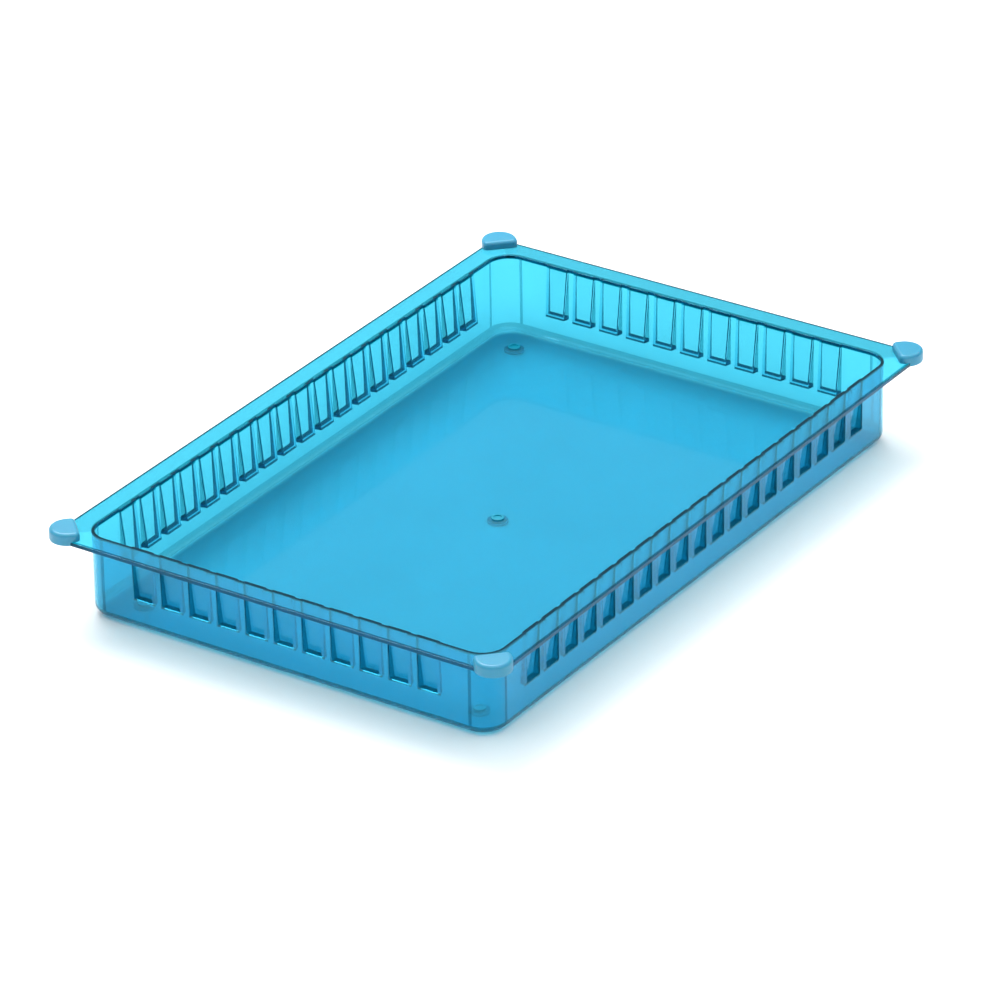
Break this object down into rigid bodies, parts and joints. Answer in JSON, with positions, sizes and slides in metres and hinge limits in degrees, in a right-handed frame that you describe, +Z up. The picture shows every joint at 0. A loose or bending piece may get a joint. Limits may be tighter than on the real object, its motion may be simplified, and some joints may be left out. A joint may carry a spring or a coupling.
{
  "type": "parts organizer tray",
  "caption": "Shallow rectangular stacking tray for small parts, with a flat rim flange, padded and slotted walls, corner studs and low glide feet.",
  "frame": {"origin": "middle of the tray's bounding box at its lowest face, the surface that the feet stand on", "axes": "+Z up, +Y along the tray's long side, +X across it"},
  "size_m": [0.4, 0.6, 0.075],
  "materials": {
    "shell_plastic": "see-through light blue, glossy, with darker edges",
    "stud_plastic": "paler and milkier blue, soft gloss",
    "foot_plastic": "deep blue, soft and dull"
  },
  "bodies": {
    "root": {"tray_shell": "shell_plastic", "stud_front_left": "stud_plastic", "stud_front_right": "stud_plastic", "stud_back_left": "stud_plastic", "stud_back_right": "stud_plastic", "foot_front_left": "foot_plastic", "foot_front_right": "foot_plastic", "foot_back_left": "foot_plastic", "foot_back_right": "foot_plastic", "foot_centre": "foot_plastic"}
  },
  "joints": []
}
